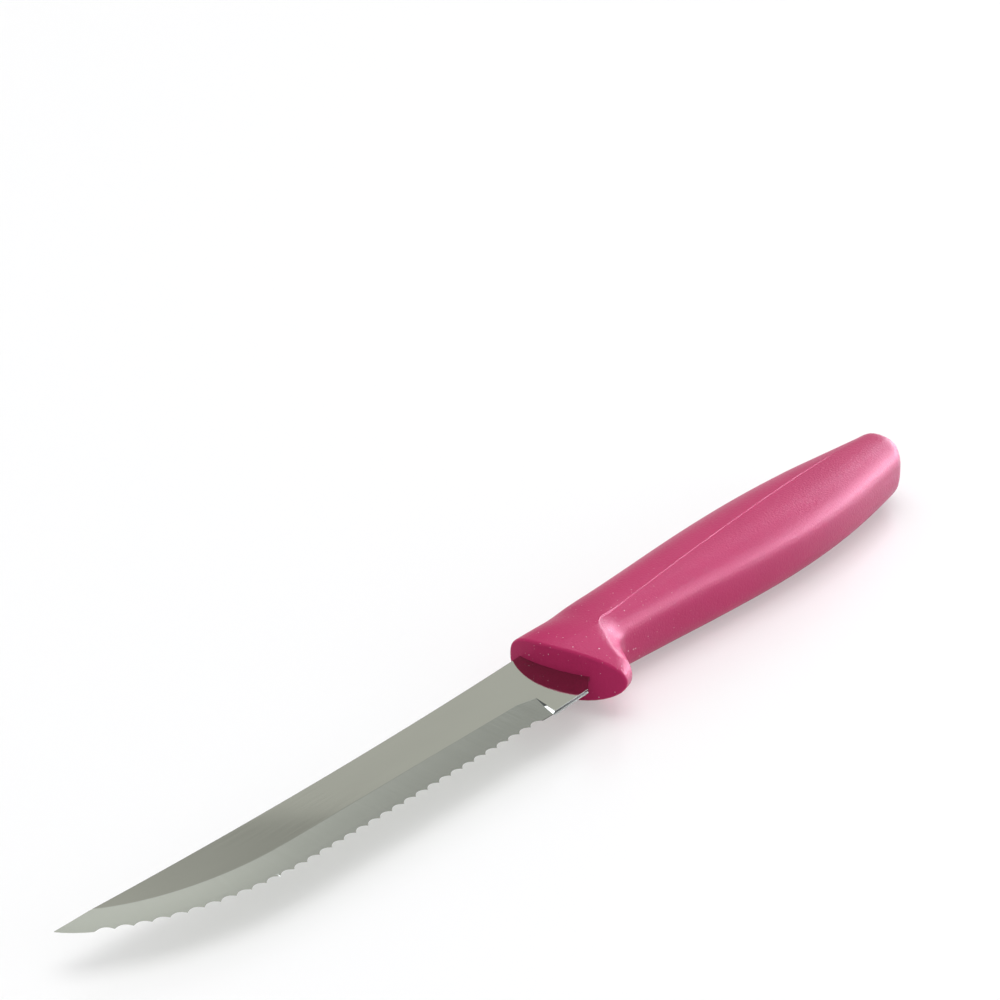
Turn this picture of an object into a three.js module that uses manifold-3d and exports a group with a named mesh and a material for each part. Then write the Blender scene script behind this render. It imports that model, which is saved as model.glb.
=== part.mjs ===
// Steak knife: a stamped, serrated blade whose tang is held in a one-piece moulded handle.
// Millimetres, +Z up. The knife lies on its flank, with the tip towards -X and the back towards +Y.
// Sizes along X are measured from the front of the handle, and sizes along Y from the level of the tip.

import * as THREE from "three";
import { mergeVertices } from "three/addons/utils/BufferGeometryUtils.js";
import Module from "manifold-3d";

const wasm = await Module();
wasm.setup();

const { lerp, clamp, smoothstep, degToRad } = THREE.MathUtils;

// Blade outline
const BLADE_LENGTH = 127; // tip to the front of the handle
const BLADE_DEPTH = 18.3; // level of the tip down to the cutting edge
const EDGE_FALL = 0.4; // how much lower the edge lies at the plunge
const BLADE_THICKNESS = 0.9;
const BACK_HOLLOW = 1.5; // sag of the back below the line from tip to handle
const BACK_DROP = 0.6; // the back at the handle, below the level of the tip
const CURVE_LENGTH = 47; // tip to where the edge runs straight
const CURVE_PULL = 25.3; // how far the straight edge is carried into the curve
const TIP_PULL_BACK = 3.9; // how the curve leaves the tip, along and down
const TIP_PULL_DOWN = 8.1;
const HEEL_LENGTH = 3.5; // the heel's slanting corner, from its start to the handle

// Grind and serration
const GRIND_WIDTH = 6.7;
const GRIND_HOLLOW = 0.045; // how deep the wheel's hollow lies under a straight slope
const EDGE_THICKNESS = 0.15;
const RICASSO_LENGTH = 12.9; // unground blade in front of the handle
const PLUNGE_WIDTH = 5.7; // the grind narrows where it ends
const PLUNGE_TAPER = 3; // length over which it narrows
const PLUNGE_LEAN = 1.7; // how much nearer the handle the plunge ends at its top
const PLUNGE_RUN = 0.6; // length of the wheel's run-out along the edge
const SCALLOP_PITCH = 3.29;
const SCALLOP_DEPTH = 0.86;
const SCALLOP_TILT = degToRad(20); // the wheel's line against the blade's flat
const TOOTH_FLAT = 0.16; // what is left of the edge between two scallops
const TIP_PLAIN = 7; // smooth edge next to the tip
const HEEL_PLAIN = 3.7; // smooth edge next to the plunge

// Tang, and the socket that the plastic leaves round it
const TANG_DEPTH = 15; // at the mouth of the handle
const TANG_SHOULDER = 6; // where the tang steps down to its neck
const TANG_LENGTH = 64;
const NECK_TOP = 1.5; // level of the tip down to the neck
const NECK_DEPTH = 9;
const HOLE_RADIUS = 2.4; // the plastic runs through two holes and locks the tang
const HOLE_FIRST = 22;
const HOLE_SPACING = 24;
const CLEARANCE = 0.3;

// Handle body: control heights, evenly spaced from its front to its butt
const HANDLE_LENGTH = 114;
const BACK_HEIGHTS = [2.3, -1.9, 7.9, 3.4, 0.6];
const BELLY_HEIGHTS = [-13.3, -13.2, -13.9, -20.6, -15.1, -10.5];
const HALF_THICKNESSES = [6.2, 7.4, 8.3, 5.8];
const BACK_FULLNESS = 2.2; // how square a section is towards the back: 2 is an ellipse
const BELLY_FULLNESS = 2.8; // and towards the belly
const FACE_BACK_FULLNESS = 2.6; // the same at the front face
const COLLAR_FULLNESS = 2.1;
const BUTT_BACK_RADIUS = 1.5;
const BUTT_BELLY_RADIUS = 5.4;
const BUTT_SIDE_RADIUS = 3.2;

// Collar and back strap, which stand proud of the grip
const COLLAR_FRONT_EDGE = -22.1; // lowest point of the collar at the face, and at its back
const COLLAR_BACK_EDGE = -20;
const COLLAR_SWELL = 7; // length over which the collar swells from the face
const FACE_HALF_THICKNESS = 5;
const FACE_LEAN = degToRad(8.5); // the face leans back towards the cutting edge
const FACE_BOW = 2.6; // how far the face recedes at its two ends
const FACE_FILLET = 0.5;
const STRAP_PROUD = 0.15;
const STRAP_FADE = 8; // length over which the collar thins out into the strap
const STRAP_END = 103; // where the strap has sunk into the handle
const STRAP_SINK = 18; // length over which it sinks

// The crease between strap and grip, seen from above
const CREASE_START = -9.75; // its level behind the bend
const CREASE_RISE = 0.08; // its climb towards the back, per millimetre of length
const CREASE_EASE = 4; // length over which the climb sets in
const CREASE_LIMIT = 0.3; // the share of the width that it keeps to the back
const BEND_END = 14; // where the crease leaves the bend behind the collar
const BEND_EDGE = 5.5; // where the bend would meet the collar's lower edge
const BEND_POWER = 2.5;
const BEND_RECEDE = 2; // how far its lower end turns back, which keeps the collar thick there
const RECEDE_POWER = 8;
const CORNER_DROP = 1.3; // the middle of the bend, below the level behind it
const COLLAR_BACK = 7; // back of the collar at the back of the knife
const LEDGE_FLANK = 6; // run of the ledge behind the collar, on the flank and at the lower edge
const LEDGE_EDGE = 13;
const LEDGE_SPREAD = 2.8; // how soon the run grows towards that edge: 1 is evenly
const LEDGE_EASE = 1.3; // how soon it falls: 1 is a straight slope
const STEP_EASE = 2;
const STEP_RUN = 0.15; // run of the step beside the strap, and its growth with its height
const STEP_SLOPE = 0.35;

// Facets
const BACK_STEPS = 12; // from the back to the crease
const STEP_STEPS = 3; // across the step
const BELLY_STEPS = 11; // from the step to the belly
const FILLET_STEPS = 5;
const COLLAR_STEPS = 5;
const LEDGE_STEPS = 8;
const BODY_STEPS = 26;
const BUTT_STEPS = 7;
const CURVE_SEGMENTS = 40;
const GRIND_STEPS = 4; // across the grind
const SCALLOP_SEGMENTS = 10;
const ARC_DIVISIONS = 400; // for lengths along the edge
const SETTLE_PASSES = 3; // to bring a point's place and its section into line
const CUT_OVERRUN = 1; // how far a cut reaches past the blade or the handle
const MERGE_DISTANCE = 1e-4;

// Solids

function toSolid(geometry) {
  const bare = new THREE.BufferGeometry();
  bare.setAttribute("position", geometry.getAttribute("position"));
  bare.setIndex(geometry.index);
  const merged = mergeVertices(bare, MERGE_DISTANCE);
  const vertProperties = merged.getAttribute("position").array;
  const triVerts = new Uint32Array(merged.index.array);
  return new wasm.Manifold(new wasm.Mesh({ numProp: 3, vertProperties, triVerts }));
}

function toGeometry(solid) {
  const { vertProperties, triVerts } = solid.getMesh();
  const geometry = new THREE.BufferGeometry();
  geometry.setAttribute("position", new THREE.BufferAttribute(vertProperties, 3));
  geometry.setIndex(new THREE.BufferAttribute(triVerts, 1));
  geometry.computeVertexNormals();
  return geometry;
}

// A closed skin over rings of equally many points. Each ring turns counterclockwise about the direction
// of travel, and the first and the last are closed by strips between opposite points.
function loft(rings) {
  const count = rings[0].length;
  const points = rings.flat();
  const faces = [];
  const addQuad = (a, b, c, d) => {
    const acrossAC = points[a].distanceToSquared(points[c]);
    const acrossBD = points[b].distanceToSquared(points[d]);
    if (acrossAC <= acrossBD) faces.push(a, b, c, a, c, d);
    else faces.push(a, b, d, b, c, d);
  };
  for (let i = 0; i + 1 < rings.length; i++) {
    for (let j = 0; j < count; j++) {
      const next = (j + 1) % count;
      addQuad(i * count + j, i * count + next, (i + 1) * count + next, (i + 1) * count + j);
    }
  }
  const last = (rings.length - 1) * count;
  for (let j = 0; j < count / 2; j++) {
    const near = (count - j) % count;
    const far = count - j - 1;
    if (near === j) {
      faces.push(j, far, j + 1);
      faces.push(last + j, last + j + 1, last + far);
    } else if (far === j + 1) {
      faces.push(j, near, far);
      faces.push(last + j, last + far, last + near);
    } else {
      addQuad(j, near, far, j + 1);
      addQuad(last + j, last + j + 1, last + far, last + near);
    }
  }
  const geometry = new THREE.BufferGeometry().setFromPoints(points);
  geometry.setIndex(faces);
  return geometry;
}

// Blade

const backAtHandle = new THREE.Vector2(0, -BACK_DROP);
const tip = new THREE.Vector2(-BLADE_LENGTH, 0);
const backPull = tip.clone().lerp(backAtHandle, 0.5);
backPull.y -= 2 * BACK_HOLLOW; // the pull point lies twice as deep as the sag
const curveStart = new THREE.Vector2(CURVE_LENGTH - BLADE_LENGTH, -BLADE_DEPTH);
const plunge = new THREE.Vector2(-RICASSO_LENGTH, -BLADE_DEPTH - EDGE_FALL);
const straight = plunge.clone().sub(curveStart).normalize();
const curveLead = curveStart.clone().addScaledVector(straight, -CURVE_PULL);
const tipLead = new THREE.Vector2(tip.x + TIP_PULL_BACK, -TIP_PULL_DOWN);
const tangBottom = -BACK_DROP - TANG_DEPTH;

// The cutting edge from the tip to the plunge, by length along it.
const edge = new THREE.CurvePath();
edge.add(new THREE.CubicBezierCurve(tip, tipLead, curveLead, curveStart));
edge.add(new THREE.LineCurve(curveStart, plunge));
edge.curves.forEach((curve) => (curve.arcLengthDivisions = ARC_DIVISIONS));

function edgeFrame(distance) {
  const share = clamp(distance / edge.getLength(), 0, 1);
  const tangent = edge.getTangent(share);
  const point = edge.getPoint(share);
  const inward = new THREE.Vector2(-tangent.y, tangent.x);
  return { point, tangent, inward };
}

// The outline of the tang behind the handle's front, grown by a clearance.
function traceTang(shape, grow) {
  const neckTop = -NECK_TOP + grow;
  const neckBottom = -NECK_TOP - NECK_DEPTH - grow;
  const endRadius = (neckTop - neckBottom) / 2;
  const endCentre = TANG_LENGTH + grow - endRadius;
  shape.lineTo(TANG_SHOULDER + grow, -BACK_DROP + grow);
  shape.lineTo(TANG_SHOULDER + grow, neckTop);
  shape.lineTo(endCentre, neckTop);
  shape.absarc(endCentre, neckTop - endRadius, endRadius, Math.PI / 2, -Math.PI / 2, true);
  shape.lineTo(TANG_SHOULDER + grow, neckBottom);
  shape.lineTo(TANG_SHOULDER + grow, tangBottom - grow);
  for (const x of [HOLE_FIRST, HOLE_FIRST + HOLE_SPACING]) {
    const hole = new THREE.Path();
    hole.absarc(x, -NECK_TOP - NECK_DEPTH / 2, HOLE_RADIUS - grow, 0, 2 * Math.PI);
    shape.holes.push(hole);
  }
}

function stamped(shape, thickness) {
  const geometry = new THREE.ExtrudeGeometry(shape, {
    depth: thickness,
    bevelEnabled: false,
    curveSegments: CURVE_SEGMENTS,
  });
  geometry.translate(0, 0, -thickness / 2);
  return toSolid(geometry);
}

function bladeBlank() {
  const shape = new THREE.Shape();
  shape.moveTo(tip.x, tip.y);
  shape.quadraticCurveTo(backPull.x, backPull.y, backAtHandle.x, backAtHandle.y);
  traceTang(shape, 0);
  const mouth = faceX(tangBottom) - CLEARANCE;
  shape.lineTo(mouth, tangBottom);
  shape.lineTo(mouth - HEEL_LENGTH, -BLADE_DEPTH);
  shape.lineTo(plunge.x, plunge.y);
  shape.lineTo(curveStart.x, curveStart.y);
  shape.bezierCurveTo(curveLead.x, curveLead.y, tipLead.x, tipLead.y, tip.x, tip.y);
  return stamped(shape, BLADE_THICKNESS);
}

// The ground surface above the blade's middle plane: a slope with a shallow hollow, deepest midway.
const grindDepth = (BLADE_THICKNESS - EDGE_THICKNESS) / 2;

function grindHeight(across, width) {
  const share = across / width;
  const fromMiddle = 2 * share - 1;
  return EDGE_THICKNESS / 2 + grindDepth * share - GRIND_HOLLOW * (1 - fromMiddle ** 2);
}

// What the wheel takes off one face: a wedge along the edge that narrows to the leaning plunge.
function grindRing({ point, inward }, width, placeX) {
  const corner = (across, z) => {
    const { x, y } = point.clone().addScaledVector(inward, across);
    return new THREE.Vector3(x + placeX(across, z), y, z);
  };
  const ground = (across) => corner(across, grindHeight(across, width));
  const above = BLADE_THICKNESS / 2 + 2 * CUT_OVERRUN;
  const ring = [
    ground(width + CUT_OVERRUN),
    corner(width + CUT_OVERRUN, above),
    corner(-CUT_OVERRUN, above),
    ground(-CUT_OVERRUN),
  ];
  for (let i = 0; i <= GRIND_STEPS; i++) ring.push(ground((width * i) / GRIND_STEPS));
  return ring;
}

function grindRings() {
  const keep = () => 0;
  const lean = (across, z) =>
    (PLUNGE_LEAN * across) / PLUNGE_WIDTH + (PLUNGE_RUN * (z - BLADE_THICKNESS / 2)) / grindDepth;
  const start = edgeFrame(0);
  start.point.addScaledVector(start.tangent, -2 * CUT_OVERRUN);
  const rings = [grindRing(start, GRIND_WIDTH, keep)];
  const curveLength = edge.curves[0].getLength();
  for (let i = 0; i <= CURVE_SEGMENTS; i++) {
    rings.push(grindRing(edgeFrame((curveLength * i) / CURVE_SEGMENTS), GRIND_WIDTH, keep));
  }
  rings.push(grindRing(edgeFrame(edge.getLength() - PLUNGE_TAPER), GRIND_WIDTH, keep));
  rings.push(grindRing(edgeFrame(edge.getLength()), PLUNGE_WIDTH, lean));
  return rings;
}

const mirrored = (rings) =>
  rings.map((ring) => ring.map((p) => new THREE.Vector3(p.x, p.y, -p.z)).reverse());

// One hollow of the serration, ground from the lower face so that the upper face shows a clean arc.
function scallop(distance) {
  const { point, tangent, inward } = edgeFrame(distance);
  const halfWidth = (SCALLOP_PITCH - TOOTH_FLAT) / 2;
  const sunk = SCALLOP_DEPTH * Math.sin(SCALLOP_TILT);
  const radius = (halfWidth ** 2 + sunk ** 2) / (2 * sunk);
  const reach = Math.asin((halfWidth + CUT_OVERRUN) / radius);
  const profile = new THREE.Shape();
  profile.absarc(0, -radius, radius, Math.PI / 2 + reach, Math.PI / 2 - reach, true);
  const length = 2 * GRIND_WIDTH;
  const geometry = new THREE.ExtrudeGeometry(profile, {
    depth: length,
    bevelEnabled: false,
    curveSegments: SCALLOP_SEGMENTS,
  });
  geometry.translate(0, 0, -length / 2);
  const along = new THREE.Vector3(tangent.x, tangent.y, 0);
  const into = new THREE.Vector3(inward.x, inward.y, 0).multiplyScalar(Math.sin(SCALLOP_TILT));
  into.z = Math.cos(SCALLOP_TILT);
  const out = along.clone().cross(into);
  const place = new THREE.Matrix4().makeBasis(along, into, out);
  const root = point.clone().addScaledVector(inward, SCALLOP_DEPTH);
  place.setPosition(root.x, root.y, grindHeight(SCALLOP_DEPTH, GRIND_WIDTH));
  geometry.applyMatrix4(place);
  return toSolid(geometry);
}

function bladeSolid() {
  const rings = grindRings();
  let solid = bladeBlank();
  solid = solid.subtract(toSolid(loft(rings)));
  solid = solid.subtract(toSolid(loft(mirrored(rings))));
  const room = edge.getLength() - TIP_PLAIN - HEEL_PLAIN;
  const count = Math.floor(room / SCALLOP_PITCH);
  for (let i = 0; i < count; i++) {
    solid = solid.subtract(scallop(TIP_PLAIN + (i + 0.5) * SCALLOP_PITCH));
  }
  return solid;
}

// Handle

// The value at a share of the length of a smooth curve with evenly spaced control heights.
function controlCurve(heights, share) {
  let row = heights;
  while (row.length > 1) {
    row = row.slice(1).map((height, i) => lerp(row[i], height, share));
  }
  return row[0];
}

// How far a rounded end has drawn in at x, for a round of this radius.
function drawnIn(x, radius) {
  const share = clamp((x - (HANDLE_LENGTH - radius)) / radius, 0, 1);
  return radius * (1 - Math.sqrt(1 - share ** 2));
}

// The middle of the face, and its bowed and leaning surface.
const faceBack = BACK_HEIGHTS[0] + STRAP_PROUD;
const faceMiddle = (faceBack + COLLAR_FRONT_EDGE) / 2;

function faceX(y) {
  const share = (y - faceMiddle) / (faceBack - faceMiddle);
  return (faceMiddle - y) * Math.tan(FACE_LEAN) + FACE_BOW * share ** 2;
}

// Cross-sections: the levels of the back and of the belly, and half the thickness.
function gripSection(x) {
  const share = x / HANDLE_LENGTH;
  return {
    back: controlCurve(BACK_HEIGHTS, share) - drawnIn(x, BUTT_BACK_RADIUS),
    belly: controlCurve(BELLY_HEIGHTS, share) + drawnIn(x, BUTT_BELLY_RADIUS),
    half: controlCurve(HALF_THICKNESSES, share) - drawnIn(x, BUTT_SIDE_RADIUS),
    backFullness: BACK_FULLNESS,
    bellyFullness: BELLY_FULLNESS,
  };
}

// The proud section swells from the face, and its lower edge draws in behind the collar.
function strapSection(x, behindFace, behindCollar) {
  const grip = gripSection(x);
  const proud = STRAP_PROUD * (1 - smoothstep(x, STRAP_END - STRAP_SINK, STRAP_END));
  const nearFace = 1 - clamp(behindFace / COLLAR_SWELL, 0, 1);
  const thinned = smoothstep(behindCollar, 0, STRAP_FADE);
  const collarEdge = lerp(COLLAR_BACK_EDGE, COLLAR_FRONT_EDGE, nearFace);
  return {
    back: grip.back + proud,
    belly: lerp(collarEdge, grip.belly - proud, thinned),
    half: lerp(grip.half + proud, FACE_HALF_THICKNESS, nearFace ** 2),
    backFullness: lerp(BACK_FULLNESS, FACE_BACK_FULLNESS, nearFace ** 2),
    bellyFullness: lerp(COLLAR_FULLNESS, BELLY_FULLNESS, thinned),
  };
}

const inset = (section, by) => ({
  ...section,
  back: section.back - by,
  belly: section.belly + by,
  half: section.half - by,
});

// A point on a section, where angle 0 is the back and pi is the belly.
function sectionPoint({ back, belly, half, backFullness, bellyFullness }, angle) {
  const cos = Math.cos(angle);
  const power = 2 / (cos > 0 ? backFullness : bellyFullness);
  const y = (back + belly) / 2 + ((back - belly) / 2) * Math.sign(cos) * Math.abs(cos) ** power;
  const z = half * Math.max(Math.sin(angle), 0) ** power;
  return { y, z };
}

function sectionAngle({ back, belly, backFullness, bellyFullness }, y) {
  const share = clamp((2 * y - back - belly) / (back - belly), -1, 1);
  const power = (share > 0 ? backFullness : bellyFullness) / 2;
  return Math.acos(Math.sign(share) * Math.abs(share) ** power);
}

const heightAt = (section, y) => sectionPoint(section, sectionAngle(section, y)).z;

// The crease: a straight climb along the flank, and a bend down to the collar's lower edge.
const bendDepth = CREASE_START - COLLAR_BACK_EDGE;

function creaseY(x, { back, belly }) {
  const behind = x - BEND_END;
  if (behind < 0) return CREASE_START - bendDepth * (-behind / (BEND_END - BEND_EDGE)) ** BEND_POWER;
  const climb = (CREASE_RISE * behind ** 2) / (behind + CREASE_EASE);
  return Math.min(CREASE_START + climb, lerp(back, belly, CREASE_LIMIT));
}

function bendX(y) {
  const drop = clamp((CREASE_START - y) / bendDepth, 0, 1);
  return lerp(BEND_END, BEND_EDGE, drop ** (1 / BEND_POWER)) + BEND_RECEDE * drop ** RECEDE_POWER;
}

const cornerY = CREASE_START - CORNER_DROP;
const cornerX = bendX(cornerY);

// Points round half a section: from the back to the crease, across the step, and on to the belly.
const creaseIndex = BACK_STEPS;
const footIndex = BACK_STEPS + STEP_STEPS;
const bellyIndex = footIndex + BELLY_STEPS;

function halfPoint(section, crease, run, j) {
  const atCrease = sectionAngle(section, crease);
  if (j <= creaseIndex) return sectionPoint(section, (atCrease * j) / BACK_STEPS);
  const foot = sectionAngle(section, crease - (run * Math.min(j - creaseIndex, STEP_STEPS)) / STEP_STEPS);
  return sectionPoint(section, lerp(foot, Math.PI, Math.max(j - footIndex, 0) / BELLY_STEPS));
}

const halfRing = (pointAt) => Array.from({ length: bellyIndex + 1 }, (_, j) => pointAt(j));

// The back edge of the collar: the bend of the crease, carried on across the back of the knife.
function collarBackX(y, j) {
  if (j >= creaseIndex) return bendX(y);
  return lerp(COLLAR_BACK, cornerX, (j / creaseIndex) ** 2);
}

// Half a ring of the collar: how far the fillet of the face has turned, and the share of the way from
// the face to the collar's back edge.
function collarRing(turn, share) {
  const tuckedIn = FACE_FILLET * (1 - Math.sin(turn));
  const setBack = FACE_FILLET * (1 - Math.cos(turn));
  const crease = lerp(CREASE_START, cornerY, share);
  return halfRing((j) => {
    const point = new THREE.Vector3(share * COLLAR_BACK, faceMiddle, 0);
    for (let pass = 0; pass < SETTLE_PASSES; pass++) {
      const section = strapSection(point.x, point.x - faceX(point.y), 0);
      const { y, z } = halfPoint(inset(section, tuckedIn), crease, STEP_RUN, j);
      point.set(lerp(faceX(y) + setBack, collarBackX(y, j), share), y, z);
    }
    return point;
  });
}

// Eases from 0 to 1 with a sharp start and a smooth end, as a cove does.
const cove = (share, ease) => 1 - (1 - clamp(share, 0, 1)) ** ease;

// Half a ring behind the collar. The strap lies on the proud section, and the grip sinks from it, across
// the ledge behind the collar and the step along the crease.
function gripRing(collarEdge, ledge, placeX) {
  const corner = placeX(cornerX, cornerX + LEDGE_FLANK);
  const beside = gripSection(corner);
  const crease = creaseY(corner, beside);
  const strap = strapSection(corner, corner - faceX(crease), corner - cornerX);
  const drop = heightAt(strap, crease) - heightAt(beside, crease);
  const sunk = cove(ledge, LEDGE_EASE);
  const run = STEP_RUN + STEP_SLOPE * Math.max(drop, 0) * sunk;
  return halfRing((j) => {
    const start = collarEdge[j].x;
    const toBelly = Math.max(j - footIndex, 0) / BELLY_STEPS;
    const x = placeX(start, start + lerp(LEDGE_FLANK, LEDGE_EDGE, cove(toBelly, LEDGE_SPREAD)));
    const section = strapSection(x, x - faceX(collarEdge[j].y), x - start);
    const proud = halfPoint(section, crease, run, j);
    const low = halfPoint(gripSection(x), crease, run, j);
    const sink = cove((j - creaseIndex) / STEP_STEPS, STEP_EASE) * sunk;
    return new THREE.Vector3(x, lerp(proud.y, low.y, sink), lerp(proud.z, low.z, sink));
  });
}

function handleRings() {
  const quarter = Math.PI / 2;
  const halves = [];
  for (let i = 0; i <= FILLET_STEPS; i++) halves.push(collarRing((quarter * i) / FILLET_STEPS, 0));
  for (let i = 1; i <= COLLAR_STEPS; i++) halves.push(collarRing(quarter, i / COLLAR_STEPS));
  const collarEdge = halves.at(-1);
  const bodyEnd = HANDLE_LENGTH - BUTT_BELLY_RADIUS;
  for (let i = 1; i <= LEDGE_STEPS; i++) {
    const share = i / LEDGE_STEPS;
    halves.push(gripRing(collarEdge, share, (start, foot) => lerp(start, foot, share)));
  }
  for (let i = 1; i <= BODY_STEPS; i++) {
    const share = i / BODY_STEPS;
    halves.push(gripRing(collarEdge, 1, (start, foot) => lerp(foot, bodyEnd, share)));
  }
  for (let i = 1; i <= BUTT_STEPS; i++) {
    const out = BUTT_BELLY_RADIUS * Math.sin((quarter * i) / BUTT_STEPS);
    halves.push(gripRing(collarEdge, 1, () => bodyEnd + out));
  }
  return halves.map((half) => {
    const lower = half.slice(1, -1).reverse();
    return [...half, ...lower.map((p) => new THREE.Vector3(p.x, p.y, -p.z))];
  });
}

function handleSolid() {
  const socket = new THREE.Shape();
  socket.moveTo(-CUT_OVERRUN, -BACK_DROP + CLEARANCE);
  traceTang(socket, CLEARANCE);
  socket.lineTo(-CUT_OVERRUN, tangBottom - CLEARANCE);
  socket.closePath();
  return toSolid(loft(handleRings())).subtract(stamped(socket, BLADE_THICKNESS + 2 * CLEARANCE));
}

// The knife

function piece(name, solid, look) {
  const mesh = new THREE.Mesh(toGeometry(solid), new THREE.MeshStandardMaterial(look));
  mesh.name = name;
  return mesh;
}

const knife = new THREE.Group();
knife.add(piece("blade", bladeSolid(), { color: 0xa6aaa2, metalness: 1, roughness: 0.22 }));
knife.add(piece("handle", handleSolid(), { color: 0xc03a6c, metalness: 0, roughness: 0.42 }));

// The origin is under the middle of the knife, on the surface that it lies on.
const box = new THREE.Box3().setFromObject(knife);
const middle = box.getCenter(new THREE.Vector3());
knife.position.set(-middle.x, -middle.y, -box.min.z);

const group = new THREE.Group();
group.add(knife);

export default group;
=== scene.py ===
"""Looks of a steak knife: a ground steel blade in a moulded plastic handle, on a plain pale floor."""

import logging
import math
from dataclasses import dataclass, field
from enum import Enum

import bmesh
import bpy
from mathutils import Matrix, Vector


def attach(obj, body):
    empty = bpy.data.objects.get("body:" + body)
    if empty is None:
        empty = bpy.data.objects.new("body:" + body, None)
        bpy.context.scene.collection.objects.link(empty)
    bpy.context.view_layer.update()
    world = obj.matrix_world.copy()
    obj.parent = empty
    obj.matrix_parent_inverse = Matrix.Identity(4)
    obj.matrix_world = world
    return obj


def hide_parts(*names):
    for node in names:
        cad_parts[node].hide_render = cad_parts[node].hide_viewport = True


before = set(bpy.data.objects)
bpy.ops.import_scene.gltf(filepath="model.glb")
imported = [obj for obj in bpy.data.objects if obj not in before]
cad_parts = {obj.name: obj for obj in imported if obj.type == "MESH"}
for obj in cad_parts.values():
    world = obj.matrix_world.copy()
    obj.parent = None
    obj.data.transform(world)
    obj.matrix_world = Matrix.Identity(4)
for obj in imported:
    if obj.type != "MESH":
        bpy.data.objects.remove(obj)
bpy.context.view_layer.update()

log = logging.getLogger("steak_knife")

MM = 0.001
BODY = "root"
WHITE = (1.0, 1.0, 1.0, 1.0)
NOISE_LOW = 0.3
NOISE_HIGH = 0.7
Colour = tuple[float, float, float]
Triple = tuple[float, float, float]
Out = bpy.types.NodeSocket


class Steel(Enum):
    """The finishes on the blade, in the order of its material slots."""

    POLISHED = 0
    GROUND = 1
    CUT = 2


class Socket(Enum):
    """The inputs of the main shader that the finishes set."""

    COLOUR = "Base Color"
    METAL = "Metallic"
    ROUGHNESS = "Roughness"
    INDEX = "IOR"
    NORMAL = "Normal"


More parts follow.
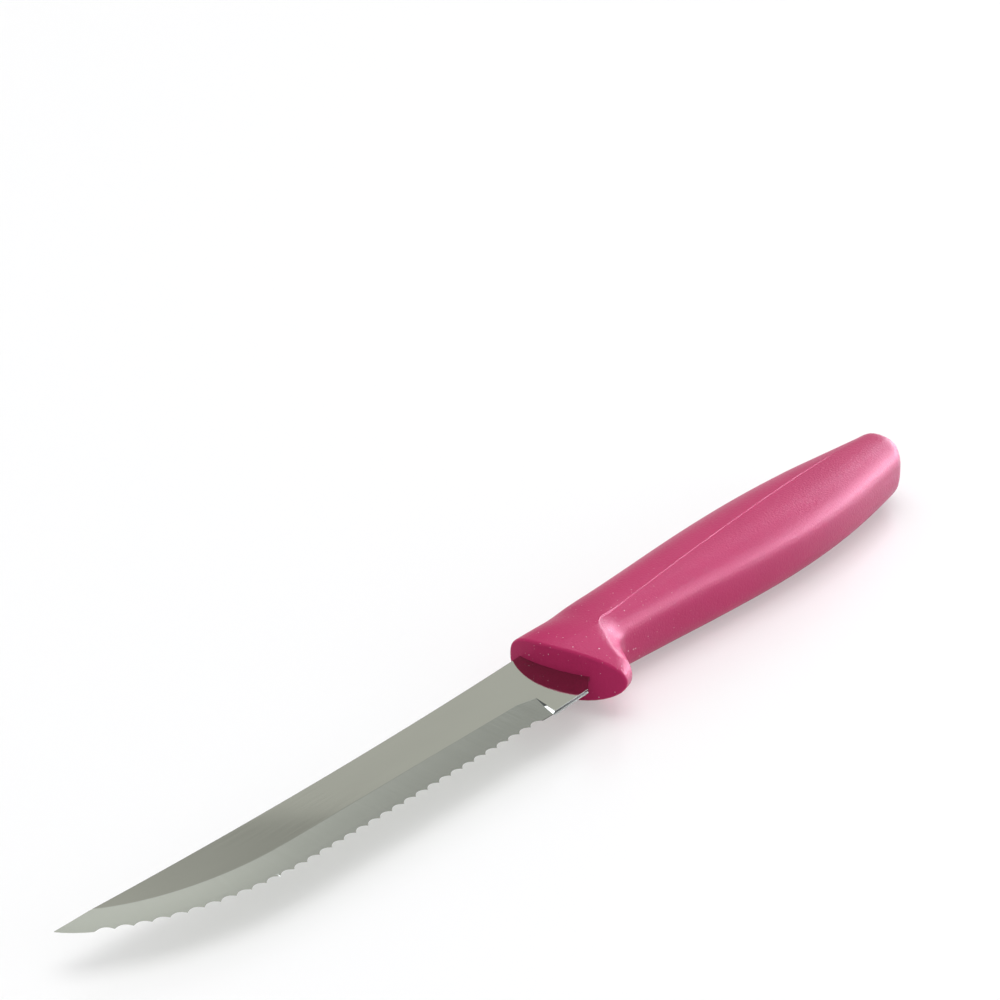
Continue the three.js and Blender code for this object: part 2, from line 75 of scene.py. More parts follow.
class Sketch:
    """A node tree that is put together one node at a time."""

    def __init__(self, tree: bpy.types.NodeTree) -> None:
        """Start on a tree."""
        self.tree = tree
        self.shader = tree.nodes.get("Principled BSDF")

    def node(self, kind: str, **settings: object) -> bpy.types.Node:
        """Add a node.

        Args:
            kind: the node's type.
            settings: properties of the node, or values of its inputs by name.

        Returns:
            The new node.
        """
        made = self.tree.nodes.new(kind)
        for key, value in settings.items():
            if key in made.inputs:
                made.inputs[key].default_value = value
            else:
                setattr(made, key, value)
        return made

    def join(self, source: Out, target: bpy.types.NodeSocket) -> None:
        """Link one socket to another."""
        self.tree.links.new(source, target)

    def fix(self, socket: Socket, value: object) -> None:
        """Set a value that is the same all over the surface."""
        self.shader.inputs[socket.value].default_value = value

    def drive(self, socket: Socket, source: Out) -> None:
        """Let a node set a value that varies over the surface."""
        self.join(source, self.shader.inputs[socket.value])

    def place(self, stretch: Triple, uv_map: str | None = None) -> Out:
        """Give coordinates for a pattern, stretched to its grain.

        Args:
            stretch: how many pattern cells go into a metre along each axis.
            uv_map: the mesh layer to read in place of object coordinates.

        Returns:
            The socket with the coordinates.
        """
        mapping = self.node("ShaderNodeMapping", Scale=stretch)
        if uv_map is None:
            source = self.node("ShaderNodeTexCoord").outputs["Object"]
        else:
            source = self.node("ShaderNodeUVMap", uv_map=uv_map).outputs["UV"]
        self.join(source, mapping.inputs["Vector"])
        return mapping.outputs["Vector"]

    def along(self, axis: str) -> Out:
        """Give the place along an axis of the object, in metres."""
        split = self.node("ShaderNodeSeparateXYZ")
        self.join(self.node("ShaderNodeTexCoord").outputs["Object"], split.inputs["Vector"])
        return split.outputs[axis]

    def noise(self, where: Out, detail: float = 2.0) -> Out:
        """Give an even noise, one cell per unit of its coordinates."""
        made = self.node("ShaderNodeTexNoise", Scale=1.0, Detail=detail)
        self.join(where, made.inputs["Vector"])
        return made.outputs["Fac"]

    def span(
        self, source: Out, low: float, high: float, start: float = NOISE_LOW, stop: float = NOISE_HIGH
    ) -> Out:
        """Turn a pattern into a range of numbers.

        Args:
            source: the pattern.
            low: the number at start.
            high: the number at stop.
            start: the pattern's value that gives low.
            stop: the pattern's value that gives high.

        Returns:
            The socket with the numbers.
        """
        made = self.node("ShaderNodeMapRange", clamp=True)
        self.join(source, made.inputs["Value"])
        for key, value in (("From Min", start), ("From Max", stop), ("To Min", low), ("To Max", high)):
            made.inputs[key].default_value = value
        return made.outputs["Result"]

    def shade(self, source: Out, *stops: tuple[float, Colour]) -> Out:
        """Turn a pattern into a range of colours.

        Args:
            source: the pattern.
            stops: the pattern's values, rising, each with the colour there.

        Returns:
            The socket with the colours.
        """
        ramp = self.node("ShaderNodeValToRGB")
        elements = ramp.color_ramp.elements
        while len(elements) < len(stops):
            elements.new(1.0)
        for element, (position, colour) in zip(elements, stops):
            element.position = position
            element.color = (*colour, 1.0)
        self.join(source, ramp.inputs["Fac"])
        return ramp.outputs["Color"]

    def mottle(self, source: Out, dark: Colour, light: Colour) -> Out:
        """Turn a noise into colours from a dark one to a light one."""
        return self.shade(source, (NOISE_LOW, dark), (NOISE_HIGH, light))

    def over(self, share: Out, under: Out, colour: Colour) -> Out:
        """Lay a colour over another where a pattern shows.

        Args:
            share: the pattern, 0 where nothing is laid and 1 where all is covered.
            under: the colours below.
            colour: the colour on top.

        Returns:
            The socket with the colours.
        """
        mix = self.node("ShaderNodeMix", data_type="RGBA")
        ports = {port.identifier: port for port in (*mix.inputs, *mix.outputs)}
        ports["B_Color"].default_value = (*colour, 1.0)
        self.join(share, ports["Factor_Float"])
        self.join(under, ports["A_Color"])
        return ports["Result_Color"]

    def times(self, first: Out, second: Out) -> Out:
        """Multiply two patterns."""
        product = self.node("ShaderNodeMath", operation="MULTIPLY")
        self.join(first, product.inputs[0])
        self.join(second, product.inputs[1])
        return product.outputs["Value"]

    def emboss(self, height: Out, strength: float, depth: float, under: Out | None = None) -> Out:
        """Turn a pattern into fine relief.

        Args:
            height: the pattern.
            strength: how strongly it shows.
            depth: how deep it is, in metres.
            under: relief that this one lies on.

        Returns:
            The socket with the normals.
        """
        bump = self.node("ShaderNodeBump", Strength=strength, Distance=depth)
        self.join(height, bump.inputs["Height"])
        if under is not None:
            self.join(under, bump.inputs["Normal"])
        return bump.outputs["Normal"]

    def seen(self) -> Out:
        """Give 1 for the rays that look at the background and 0 for those that only light the object."""
        path = self.node("ShaderNodeLightPath")
        total = path.outputs["Is Camera Ray"]
        for kind in ("Is Glossy Ray", "Is Transmission Ray"):
            largest = self.node("ShaderNodeMath", operation="MAXIMUM")
            self.join(total, largest.inputs[0])
            self.join(path.outputs[kind], largest.inputs[1])
            total = largest.outputs["Value"]
        return total


@dataclass(frozen=True)
class Finish:
    """A surface that a piece is dressed with."""

    name: str

    def make(self) -> bpy.types.Material:
        """Make the material."""
        material = bpy.data.materials.new(self.name)
        material.use_nodes = True
        self.draw(Sketch(material.node_tree))
        return material

    def draw(self, sketch: Sketch) -> None:
        """Draw the finish's nodes."""
        raise NotImplementedError


@dataclass(frozen=True)
class PolishedSteel(Finish):
    """The blade's flats: rolled sheet, buffed along its length."""

    name: str = "polished_steel"
    dark: Colour = (0.438, 0.448, 0.382)
    light: Colour = (0.468, 0.480, 0.410)
    smooth: float = 0.025
    dull: float = 0.050
    cloud: Triple = (22.0, 60.0, 60.0)
    buffing: Triple = (90.0, 5200.0, 5200.0)
    relief: float = 0.03
    depth: float = 0.004 * MM

    def draw(self, sketch: Sketch) -> None:
        """Draw soft clouds and fine lengthwise streaks."""
        sketch.fix(Socket.METAL, 1.0)
        clouds = sketch.noise(sketch.place(self.cloud), detail=3.0)
        streaks = sketch.noise(sketch.place(self.buffing))
        sketch.drive(Socket.COLOUR, sketch.mottle(clouds, self.dark, self.light))
        sketch.drive(Socket.ROUGHNESS, sketch.span(streaks, self.smooth, self.dull))
        sketch.drive(Socket.NORMAL, sketch.emboss(streaks, self.relief, self.depth))


@dataclass(frozen=True)
class GroundSteel(Finish):
    """The ground bevel and the scallops: fine wheel marks square to the edge."""

    name: str = "ground_steel"
    dark: Colour = (0.444, 0.466, 0.410)
    light: Colour = (0.462, 0.485, 0.427)
    smooth: float = 0.10
    dull: float = 0.15
    wheel: Triple = (5200.0, 60.0, 1.0)
    relief: float = 0.01
    depth: float = 0.004 * MM
    uv_map: str = "wheel_marks"

    def draw(self, sketch: Sketch) -> None:
        """Draw the wheel marks."""
        sketch.fix(Socket.METAL, 1.0)
        marks = sketch.noise(sketch.place(self.wheel, self.uv_map), detail=3.0)
        sketch.drive(Socket.COLOUR, sketch.mottle(marks, self.dark, self.light))
        sketch.drive(Socket.ROUGHNESS, sketch.span(marks, self.smooth, self.dull))
        sketch.drive(Socket.NORMAL, sketch.emboss(marks, self.relief, self.depth))


@dataclass(frozen=True)
class CutSteel(Finish):
    """The narrow edges that the blanking die left: a pale sheared band below a torn one, both painted
    darker than bare steel as a dark reflection, the torn one near black.
    """

    name: str = "cut_steel"
    bottom: float = 0.0
    top: float = 1.0 * MM
    sheared_and_painted_dim: Colour = (0.20, 0.215, 0.19)
    torn_and_painted_dark: Colour = (0.030, 0.033, 0.028)
    tear_line: float = 0.48
    tear_blur: float = 0.04
    tear_waver: float = 0.12
    smooth: float = 0.12
    dull: float = 0.22
    shear: Triple = (2400.0, 2400.0, 260.0)
    relief: float = 0.10
    depth: float = 0.008 * MM

    def draw(self, sketch: Sketch) -> None:
        """Draw the bands through the sheet's thickness and the die's upright marks."""
        sketch.fix(Socket.METAL, 1.0)
        height = sketch.span(sketch.along("Z"), 0.0, 1.0, self.bottom, self.top)
        marks = sketch.noise(sketch.place(self.shear))
        wavy = sketch.node("ShaderNodeMath", operation="MULTIPLY_ADD")
        wavy.inputs[1].default_value = self.tear_waver
        sketch.join(marks, wavy.inputs[0])
        sketch.join(height, wavy.inputs[2])
        # painted dark reflection: the sheared band is dimmed and the torn band near black, standing in
        # for a dark surround mirrored in the edge
        bands = sketch.shade(
            wavy.outputs["Value"],
            (self.tear_line - self.tear_blur, self.sheared_and_painted_dim),
            (self.tear_line + self.tear_blur, self.torn_and_painted_dark),
        )
        sketch.drive(Socket.COLOUR, bands)
        sketch.drive(Socket.ROUGHNESS, sketch.span(marks, self.smooth, self.dull))
        sketch.drive(Socket.NORMAL, sketch.emboss(marks, self.relief, self.depth))


@dataclass(frozen=True)
class MouldedPlastic(Finish):
    """The handle's satin plastic: a spark-eroded mould's fine grain, and pale specks near the front."""

    name: str = "moulded_plastic"
    dark: Colour = (0.455, 0.0225, 0.111)
    light: Colour = (0.491, 0.0250, 0.120)
    speck: Colour = (0.80, 0.55, 0.64)
    smooth: float = 0.28
    dull: float = 0.40
    index: float = 1.2
    cloud: Triple = (60.0, 60.0, 60.0)
    grain: Triple = (2600.0, 2600.0, 2600.0)
    flow: Triple = (260.0, 420.0, 420.0)
    dust: Triple = (2800.0, 2800.0, 2800.0)
    dusty_to: float = 22.0 * MM
    clean_from: float = 46.0 * MM
    dust_start: float = 0.825
    dust_full: float = 0.845
    grain_relief: float = 0.75
    grain_depth: float = 0.08 * MM
    flow_relief: float = 0.05
    flow_depth: float = 0.15 * MM

    def draw(self, sketch: Sketch) -> None:
        """Draw the clouds of colour, the grain, the flow of the melt and the specks."""
        sketch.fix(Socket.INDEX, self.index)
        clouds = sketch.noise(sketch.place(self.cloud), detail=4.0)
        grain = sketch.noise(sketch.place(self.grain))
        flow = sketch.noise(sketch.place(self.flow))
        dust = sketch.noise(sketch.place(self.dust), detail=0.0)
        front = sketch.span(sketch.along("X"), 1.0, 0.0, self.dusty_to, self.clean_from)
        specks = sketch.times(sketch.span(dust, 0.0, 1.0, self.dust_start, self.dust_full), front)
        body = sketch.mottle(clouds, self.dark, self.light)
        sketch.drive(Socket.COLOUR, sketch.over(specks, body, self.speck))
        sketch.drive(Socket.ROUGHNESS, sketch.span(grain, self.smooth, self.dull))
        waves = sketch.emboss(flow, self.flow_relief, self.flow_depth)
        sketch.drive(Socket.NORMAL, sketch.emboss(grain, self.grain_relief, self.grain_depth, waves))


@dataclass(frozen=True)
class PaleFloor(Finish):
    """A plain pale floor that keeps shadows and otherwise meets the white background."""

    name: str = "pale_floor"
    colour: Colour = (0.62, 0.62, 0.62)
    gloss: float = 0.25
    glow: float = 0.345

    def draw(self, sketch: Sketch) -> None:
        """Draw a smooth floor, and the glow that brings it up to white for the eye."""
        sketch.fix(Socket.COLOUR, (*self.colour, 1.0))
        sketch.fix(Socket.ROUGHNESS, self.gloss)
        light = sketch.node("ShaderNodeEmission", Strength=self.glow)
        dark = sketch.node("ShaderNodeEmission", Strength=0.0)
        seen = sketch.node("ShaderNodeMixShader")
        both = sketch.node("ShaderNodeAddShader")
        sketch.join(sketch.seen(), seen.inputs["Fac"])
        sketch.join(dark.outputs["Emission"], seen.inputs[1])
        sketch.join(light.outputs["Emission"], seen.inputs[2])
        sketch.join(sketch.shader.outputs["BSDF"], both.inputs[0])
        sketch.join(seen.outputs["Shader"], both.inputs[1])
        sketch.join(both.outputs["Shader"], sketch.tree.nodes["Material Output"].inputs["Surface"])


@dataclass(frozen=True)
class WallPaint(Finish):
    """A wall whose tone is laid down in its mesh."""

    name: str = "wall_paint"
    layer: str = "tone"

    def draw(self, sketch: Sketch) -> None:
        """Draw a plain glow of the wall's tone."""
        tone = sketch.node("ShaderNodeAttribute", attribute_name=self.layer)
        glow = sketch.node("ShaderNodeEmission")
        sketch.join(tone.outputs["Color"], glow.inputs["Color"])
        sketch.join(glow.outputs["Emission"], sketch.tree.nodes["Material Output"].inputs["Surface"])


class Piece:
    """A finished piece that stands for a node of the solid model."""

    def __init__(self, node: str, name: str, slot: str, weld: float) -> None:
        """Copy a node's mesh into a new object and weld its loose triangles.

        Args:
            node: the node's name.
            name: the new object's name.
            slot: not used.
            weld: the distance under which corners are one.
        """
        self.object = bpy.data.objects.new(name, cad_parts[node].data.copy())
        bpy.context.scene.collection.objects.link(self.object)
        self.mesh = self.object.data
        self.mesh.name = name
        self.mesh.materials.clear()
        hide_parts(node)
        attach(self.object, BODY)
        bpy.ops.object.select_all(action="DESELECT")
        self.object.select_set(True)
        bpy.context.view_layer.objects.active = self.object
        self.edit()
        bpy.ops.mesh.select_all(action="SELECT")
        bpy.ops.mesh.remove_doubles(threshold=weld)
        bpy.ops.mesh.dissolve_degenerate(threshold=weld)
        self.leave()

    def edit(self) -> None:
        """Start editing the mesh."""
        bpy.ops.object.mode_set(mode="EDIT")

    def leave(self) -> None:
        """Stop editing the mesh."""
        bpy.ops.object.mode_set(mode="OBJECT")

    def pick(self, wanted: list[bool]) -> None:
        """Select corners and start editing.

        Args:
            wanted: for each corner, whether it is selected.
        """
        self.edit()
        bpy.ops.mesh.select_mode(type="VERT")
        bpy.ops.mesh.select_all(action="DESELECT")
        self.leave()
        self.mesh.vertices.foreach_set("select", wanted)
        self.edit()

    def smooth(self, angle: float) -> None:
        """Shade the piece smooth up to an angle, with its broad faces kept flat.

        Args:
            angle: the sharpest turn that is smoothed.
        """
        bpy.ops.object.shade_smooth_by_angle(angle=angle)
        even = self.object.modifiers.new("even_normals", "WEIGHTED_NORMAL")
        even.keep_sharp = True
        bpy.ops.object.modifier_apply(modifier=even.name)
        self.keep_crisp(angle)

    def keep_crisp(self, angle: float) -> None:
        """Shade a face flat at the corners where it would lean over to a neighbour beyond a sharp edge.

        Args:
            angle: how far its shading may lean.
        """
        normals = [corner.vector.copy() for corner in self.mesh.corner_normals]
        for face in self.mesh.polygons:
            for corner in face.loop_indices:
                if normals[corner].angle(face.normal, 0.0) > angle:
                    normals[corner] = face.normal.copy()
        self.mesh.normals_split_custom_set(normals)


@dataclass
class Blade:
    """The steel blade with its bevel, scallops and tang."""

    node: str = "blade"
    name: str = "ground_blade"
    slot: str = "blade_steel"
    weld: float = 0.02 * MM
    even_turn: float = math.radians(0.05)
    soft_turn: float = math.radians(25.0)
    flat_tilt: float = math.radians(0.5)
    middle: float = 7.542 * MM
    half_sheet: float = 0.45 * MM
    level_slack: float = 0.01 * MM
    brow_turn: float = math.radians(12.0)
    brow_round: float = 0.12 * MM
    plunge_round: float = 0.10 * MM
    cut_round: float = 0.06 * MM
    round_steps: int = 3
    handle_front: float = 9.0 * MM
    ricasso: float = -10.0 * MM
    edge_strip: float = -9.1 * MM
    steep: float = 0.8
    plunge_lean: float = 0.05
    plunge_shade: float = -7.2 * MM
    curve_start: float = -73.5 * MM
    curve_radius: float = 70.0 * MM
    edge_height: float = -9.25 * MM

    def build(self) -> bpy.types.Object:
        """Make the blade and dress it.

        Returns:
            The finished piece.
        """
        piece = Piece(self.node, self.name, self.slot, self.weld)
        self.round_edges(piece)
        piece.smooth(self.soft_turn)
        self.level_grind(piece.mesh)
        self.lay_wheel_marks(piece.mesh)
        self.dress(piece.mesh)
        return piece.object

    def round_edges(self, piece: Piece) -> None:
        """Break the blade's edges: its brow, its plunge and the sides of its cut edges.

        Args:
            piece: the blade.
        """
        piece.edit()
        bpy.ops.mesh.select_mode(type="FACE")
        bpy.ops.mesh.select_all(action="DESELECT")
        mesh = bmesh.from_edit_mesh(piece.mesh)
        for face in mesh.faces:
            face.select_set(self.surface(face.normal, face.calc_center_median()) is Steel.POLISHED)
        bmesh.update_edit_mesh(piece.mesh)
        bpy.ops.mesh.dissolve_limited(angle_limit=self.even_turn)
        mesh = bmesh.from_edit_mesh(piece.mesh)
        weights = mesh.edges.layers.float.new("bevel_weight_edge")
        for edge in mesh.edges:
            edge[weights] = self.rounding(edge) / self.brow_round
        bmesh.update_edit_mesh(piece.mesh)
        piece.leave()
        rounds = piece.object.modifiers.new("broken_edges", "BEVEL")
        rounds.limit_method = "WEIGHT"
        rounds.width = self.brow_round
        rounds.segments = self.round_steps
        rounds.use_clamp_overlap = False
        bpy.ops.object.modifier_apply(modifier=rounds.name)

    def rounding(self, edge: bmesh.types.BMEdge) -> float:
        """Tell how far an edge is rounded.

        Args:
            edge: an edge of the blade.

        Returns:
            The width of the round on each side, in metres.
        """
        if len(edge.link_faces) != 2 or max(corner.co.x for corner in edge.verts) > self.handle_front:
            return 0.0
        kinds = {self.surface(face.normal, face.calc_center_median()) for face in edge.link_faces}
        if Steel.POLISHED not in kinds or len(kinds) == 1:
            return 0.0
        if Steel.CUT in kinds:
            return self.cut_round
        return self.brow_round if edge.calc_face_angle() < self.brow_turn else self.plunge_round

    def surface(self, normal: Vector, centre: Vector) -> Steel:
        """Tell which finish a face has. The upper part of the plunge wall takes the dark cut finish as
        painted shade.

        Args:
            normal: the face's direction.
            centre: its middle.

        Returns:
            The finish.
        """
        tilt = math.acos(min(1.0, abs(normal.z)))
        off_level = abs(abs(centre.z - self.middle) - self.half_sheet)
        if tilt < self.flat_tilt and off_level < self.level_slack:
            return Steel.POLISHED
        at_back = normal.y > abs(normal.x) or centre.x > self.handle_front
        on_strip = centre.y < self.edge_strip and abs(normal.z) < self.steep
        # painted shade: the upper plunge wall, really ground, takes the dark cut finish so that only its
        # lower part glints
        plunge_painted_dark = centre.y > self.plunge_shade and normal.x < -self.plunge_lean
        at_front = centre.x > self.ricasso and (on_strip or plunge_painted_dark)
        return Steel.CUT if at_back or at_front else Steel.GROUND

    def level_grind(self, mesh: bpy.types.Mesh) -> None:
        """Let the straight bevel shade as the wheel leaves it, level along the edge up to the plunge.

        Args:
            mesh: the blade's mesh.
        """
        normals = [corner.vector.copy() for corner in mesh.corner_normals]
        for face in mesh.polygons:
            straight = face.center.x > self.curve_start and abs(face.normal.x) < self.plunge_lean
            if straight and self.surface(face.normal, face.center) is Steel.GROUND:
                for corner in face.loop_indices:
                    normals[corner].x = 0.0
                    normals[corner].normalize()
        mesh.normals_split_custom_set(normals)

    def along_edge(self, point: Vector) -> tuple[float, float]:
        """Give a point's place along the cutting edge and away from it.

        Args:
            point: a point on the blade.

        Returns:
            The length along the edge and the distance in from it, in metres.
        """
        if point.x > self.curve_start:
            return point.x, point.y - self.edge_height
        arm = Vector((self.curve_start, self.edge_height + self.curve_radius)) - point.to_2d()
        turn = math.atan2(arm.x, arm.y)
        return self.curve_start - turn * self.curve_radius, self.curve_radius - arm.length

    def lay_wheel_marks(self, mesh: bpy.types.Mesh) -> None:
        """Lay the layer that the wheel marks of the bevel follow.

        Args:
            mesh: the blade's mesh.
        """
        layer = mesh.uv_layers.new(name=GroundSteel.uv_map)
        for loop in mesh.loops:
            layer.data[loop.index].uv = self.along_edge(mesh.vertices[loop.vertex_index].co)

    def dress(self, mesh: bpy.types.Mesh) -> None:
        """Give each face its finish.

        Args:
            mesh: the blade's mesh.
        """
        heights = [corner.co.z for corner in mesh.vertices]
        for finish in (PolishedSteel(), GroundSteel(), CutSteel(bottom=min(heights), top=max(heights))):
            mesh.materials.append(finish.make())
        for face in mesh.polygons:
            face.material_index = self.surface(face.normal, face.center).value


@dataclass
class Handle:
    """The moulded handle with its collar, strap and scooped grip."""

    node: str = "handle"
    name: str = "moulded_handle"
    slot: str = "handle_plastic"
    weld: float = 0.001 * MM
    soft_turn: float = math.radians(20.0)
    socket_end: float = 71.0 * MM
    socket_middle: float = 7.542 * MM
    socket_half: float = 0.75 * MM
    socket_top: float = 8.736 * MM
    socket_bottom: float = -6.864 * MM
    close_by: float = 0.285 * MM
    finish: MouldedPlastic = MouldedPlastic()

    def build(self) -> bpy.types.Object:
        """Make the handle and dress it.

        Returns:
            The finished piece.
        """
        piece = Piece(self.node, self.name, self.slot, self.weld)
        self.close_socket(piece)
        piece.smooth(self.soft_turn)
        piece.mesh.materials.append(self.finish.make())
        return piece.object

    def close_socket(self, piece: Piece) -> None:
        """Bring the plastic up to the tang, as it is moulded onto the steel.

        Args:
            piece: the handle.
        """
        corners = [corner.co.copy() for corner in piece.mesh.vertices]
        slack = 2 * self.weld
        reach = self.socket_half + slack
        inside = [c.x < self.socket_end and abs(c.z - self.socket_middle) < reach for c in corners]
        piece.pick(inside)
        closed = 1.0 - self.close_by / self.socket_half
        centre = (0.0, 0.0, self.socket_middle)
        bpy.ops.transform.resize(value=(1.0, 1.0, closed), center_override=centre)
        piece.leave()
        for level, shift in ((self.socket_top, -self.close_by), (self.socket_bottom, self.close_by)):
            at_level = [abs(c.y - level) < slack for c in corners]
            piece.pick([a and b for a, b in zip(inside, at_level)])
            bpy.ops.transform.translate(value=(0.0, shift, 0.0))
            piece.leave()


@dataclass
class Lamp:
    """A soft box that faces the knife and doesn't show in its gloss."""

    name: str
    place: Triple
    size: float
    power: float

    def build(self, aim: Vector) -> None:
        """Hang the lamp.

        Args:
            aim: the point that it faces.
        """
        data = bpy.data.lights.new(self.name, "AREA")
        data.shape = "SQUARE"
        data.size = self.size
        data.energy = self.power
        lamp = bpy.data.objects.new(self.name, data)
        lamp.location = Vector(self.place)
        lamp.rotation_euler = (aim - lamp.location).to_track_quat("-Z", "Y").to_euler()
        lamp.visible_glossy = False
        bpy.context.scene.collection.objects.link(lamp)


def blend(first: float, second: float, share: float) -> float:
    """Go a share of the way from one number to another."""
    return first + (second - first) * share


@dataclass(frozen=True)
class Ramp:
    """A soft step from 0 at its start to 1 at its stop."""

    start: float
    stop: float

    def at(self, value: float) -> float:
        """Give the step's share at a value."""
        share = min(1.0, max(0.0, (value - self.start) / (self.stop - self.start)))
        return share * share * (3.0 - 2.0 * share)


@dataclass
class Walls:
    """The far walls of the room, which only show in the gloss of the knife. Angles are in degrees."""

    name: str = "walls"
    reach: float = 40.0
    columns: tuple[int, ...] = tuple(range(-66, 202, 3))
    rows: tuple[float, ...] = (
        0.3, 2.0, 4.0, 6.0, 8.0, 10.0, 12.0, 14.0, 16.0, 20.0, 23.0, 26.0, 29.35, 29.37,
        31.0, 33.0, 35.0, 37.0, 40.0, 43.0, 46.0, 50.0, 54.0, 58.0, 64.0, 72.0, 80.0,
    )
    rail: float = 29.36
    below_rail: float = 0.77
    above_rail: float = 0.50
    gain_across: float = 0.0435
    gain_up: float = 0.080
    middle: float = 40.6
    dimmest: float = 0.42
    side_turn: Ramp = Ramp(31.0, 18.0)
    side_fall: Ramp = Ramp(38.0, 29.0)
    side_low: float = 9.0
    side_high: float = 1.2
    ceiling_rise: Ramp = Ramp(44.0, 58.0)
    ceiling: float = 6.0
    dark_turn: Ramp = Ramp(46.0, 62.0)
    dark_fall: Ramp = Ramp(56.0, 50.0)
    dark_end: Ramp = Ramp(100.0, 112.0)
    dark: float = 0.45
    lamp_across: float = 88.0
    lamp_height: float = 41.0
    lamp_sides: Ramp = Ramp(14.0, 8.0)
    lamp_ends: Ramp = Ramp(8.0, 4.0)
    lamp: float = 3.5
    window_left: Ramp = Ramp(-66.0, -56.0)
    window_right: Ramp = Ramp(6.0, -6.0)
    lintel_start: float = -50.0
    lintel_low: float = 1.0
    lintel_high: float = 26.0
    lintel_slope: float = 0.85
    lintel_blur: float = 8.0
    sill: Ramp = Ramp(12.0, 3.0)
    sill_gain: float = 0.7
    fade_left: Ramp = Ramp(-36.0, -52.0)
    fade_right: Ramp = Ramp(-28.0, -8.0)
    fade: float = 0.4
    window: float = 22.0
    sky_tint: Ramp = Ramp(1.0, 4.0)
    sky_blue: float = 0.15

    def tone(self, across: float, height: float) -> float:
        """Give the wall's tone in a direction.

        Args:
            across: the direction's azimuth.
            height: its elevation.

        Returns:
            The tone, where 1 is white.
        """
        tone = self.below_rail
        if height > self.rail:
            rise = self.gain_across * (across - self.middle) + self.gain_up * (height - self.rail)
            tone = min(1.0, max(self.dimmest, self.above_rail + rise))
        side = blend(self.side_high, self.side_low, self.side_fall.at(height))
        tone = blend(tone, side, self.side_turn.at(across))
        tone = blend(tone, self.ceiling, self.ceiling_rise.at(height))
        far_side = max(self.dark_fall.at(height), self.dark_end.at(across))
        tone = blend(tone, self.dark, self.dark_turn.at(across) * far_side)
        on_lamp = self.lamp_sides.at(abs(across - self.lamp_across))
        on_lamp *= self.lamp_ends.at(abs(height - self.lamp_height))
        tone = blend(tone, self.lamp, on_lamp)
        return blend(tone, self.daylight(across, height), self.opening(across, height))

    def opening(self, across: float, height: float) -> float:
        """Tell how far a direction looks through the window, whose lintel slopes.

        Args:
            across: the direction's azimuth.
            height: its elevation.

        Returns:
            The share of daylight there.
        """
        slope = self.lintel_slope * max(0.0, across - self.lintel_start)
        lintel = min(self.lintel_high, self.lintel_low + slope)
        under = Ramp(lintel + self.lintel_blur, lintel).at(height)
        return self.window_left.at(across) * self.window_right.at(across) * under

    def daylight(self, across: float, height: float) -> float:
        """Give the tone of the daylight, strongest at the sill and in the window's middle.

        Args:
            across: the direction's azimuth.
            height: its elevation.

        Returns:
            The tone, where 1 is white.
        """
        ends = self.fade_left.at(across) + self.fade_right.at(across)
        return self.window * (1.0 + self.sill_gain * self.sill.at(height)) * (1.0 - self.fade * ends)

    def build(self) -> None:
        """Put up the walls."""
        corners = []
        tones = []
        for height in self.rows:
            for across in self.columns:
                turn, tilt = math.radians(across), math.radians(height)
                level, top = self.reach * math.cos(tilt), self.reach * math.sin(tilt)
                corners.append((level * math.cos(turn), level * math.sin(turn), top))
                tone = self.tone(across, height)
                blue = tone * (1.0 + self.sky_blue * self.sky_tint.at(tone))
                tones += (tone, tone, blue, 1.0)
        width = len(self.columns)
        starts = [r * width + c for r in range(len(self.rows) - 1) for c in range(width - 1)]
        mesh = bpy.data.meshes.new(self.name)
        mesh.from_pydata(corners, [], [(s, s + 1, s + width + 1, s + width) for s in starts])
        mesh.attributes.new(WallPaint.layer, "FLOAT_COLOR", "POINT").data.foreach_set("color", tones)
        mesh.materials.append(WallPaint().make())
        walls = bpy.data.objects.new(self.name, mesh)
        bpy.context.scene.collection.objects.link(walls)
        for ray in ("camera", "diffuse", "transmission", "volume_scatter", "shadow"):
            setattr(walls, f"visible_{ray}", False)


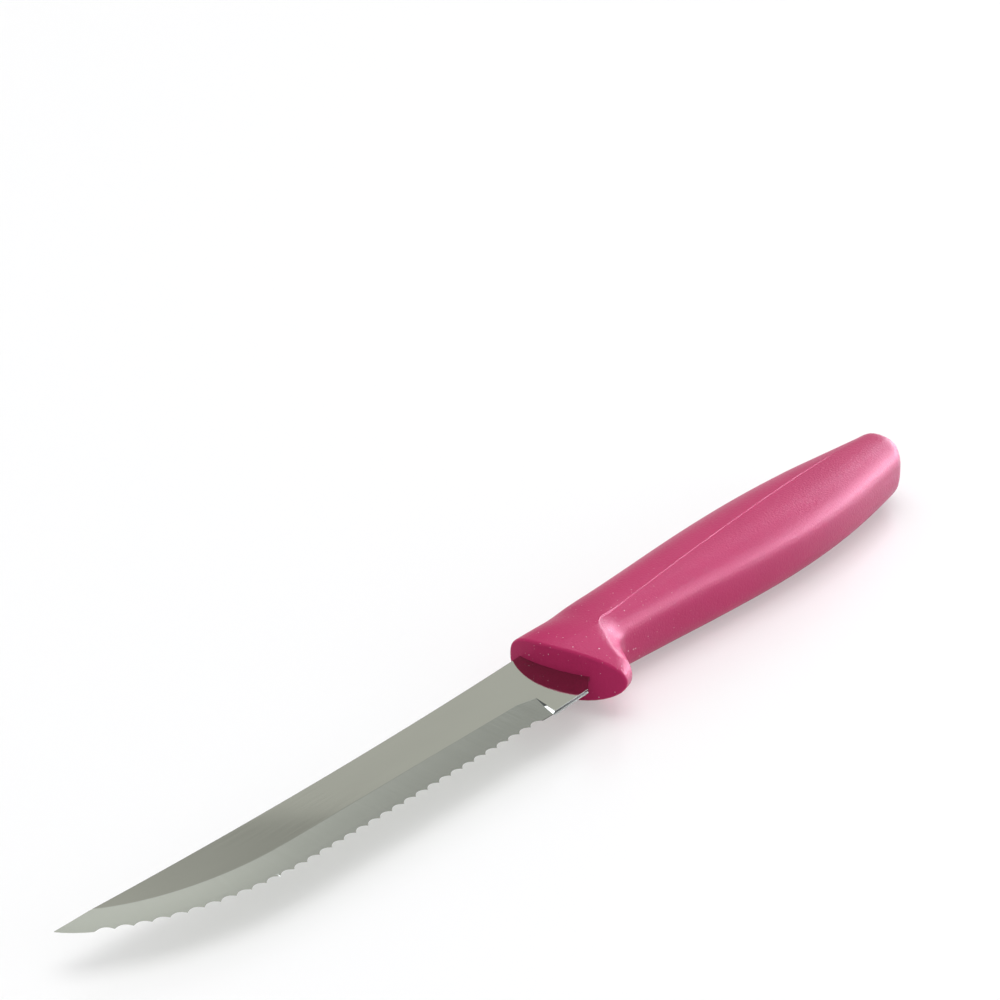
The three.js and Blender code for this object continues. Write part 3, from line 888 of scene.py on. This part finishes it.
@dataclass
class Studio:
    """The floor, the light and the camera."""

    floor_size: float = 20.0
    ambient: float = 0.62
    lamps: tuple[Lamp, ...] = (
        Lamp("key_box", (0.49, -0.87, 0.165), 0.60, 1.5),
        Lamp("top_box", (0.10, 0.10, 1.40), 1.20, 8.5),
    )
    walls: Walls = field(default_factory=Walls)
    aim: Triple = (0.03, 0.0, 0.008)
    target: Triple = (57.0525 * MM, 52.1449 * MM, 7.5424 * MM)
    azimuth: float = math.radians(-52.4529)
    elevation: float = math.radians(25.9215)
    roll: float = math.radians(0.5365)
    distance: float = 1.03969
    lens: float = 191.17
    sensor: float = 36.0

    def build(self) -> None:
        """Set up the studio."""
        self.lay_floor()
        self.light_world()
        for lamp in self.lamps:
            lamp.build(Vector(self.aim))
        self.walls.build()
        self.set_camera()
        bpy.context.scene.view_settings.view_transform = "Standard"

    def lay_floor(self) -> None:
        """Lay the floor that the knife lies on."""
        bpy.ops.object.select_all(action="DESELECT")
        bpy.ops.mesh.primitive_plane_add(size=self.floor_size, location=(0.0, 0.0, 0.0))
        floor = bpy.context.active_object
        floor.name = "floor"
        floor.data.materials.append(PaleFloor().make())

    def light_world(self) -> None:
        """Give the room its even light and its white background."""
        world = bpy.data.worlds.new("room")
        bpy.context.scene.world = world
        world.use_nodes = True
        sketch = Sketch(world.node_tree)
        even = sketch.tree.nodes["Background"]
        even.inputs["Color"].default_value = WHITE
        even.inputs["Strength"].default_value = self.ambient
        white = sketch.node("ShaderNodeBackground", Color=WHITE, Strength=1.0)
        mix = sketch.node("ShaderNodeMixShader")
        sketch.join(sketch.seen(), mix.inputs["Fac"])
        sketch.join(even.outputs["Background"], mix.inputs[1])
        sketch.join(white.outputs["Background"], mix.inputs[2])
        sketch.join(mix.outputs["Shader"], sketch.tree.nodes["World Output"].inputs["Surface"])

    def set_camera(self) -> None:
        """Set the camera at the photograph's viewing angle."""
        back = Vector((
            math.sin(self.azimuth) * math.cos(self.elevation),
            -math.cos(self.azimuth) * math.cos(self.elevation),
            math.sin(self.elevation),
        ))
        right = (-back).cross(Vector((0.0, 0.0, 1.0))).normalized()
        up = right.cross(-back)
        across = right * math.cos(self.roll) + up * math.sin(self.roll)
        upward = up * math.cos(self.roll) - right * math.sin(self.roll)
        data = bpy.data.cameras.new("camera")
        data.lens = self.lens
        data.sensor_width = self.sensor
        camera = bpy.data.objects.new("camera", data)
        turn = Matrix((across, upward, back)).transposed().to_4x4()
        camera.matrix_world = Matrix.Translation(Vector(self.target) + back * self.distance) @ turn
        bpy.context.scene.collection.objects.link(camera)
        bpy.context.scene.camera = camera


def main() -> None:
    """Build the knife and its studio."""
    logging.basicConfig(level=logging.INFO, format="%(name)s: %(message)s")
    for part in (Blade(), Handle()):
        piece = part.build()
        log.info("%s: %d faces", piece.name, len(piece.data.polygons))
    Studio().build()


if __name__ == "__main__":
    main()
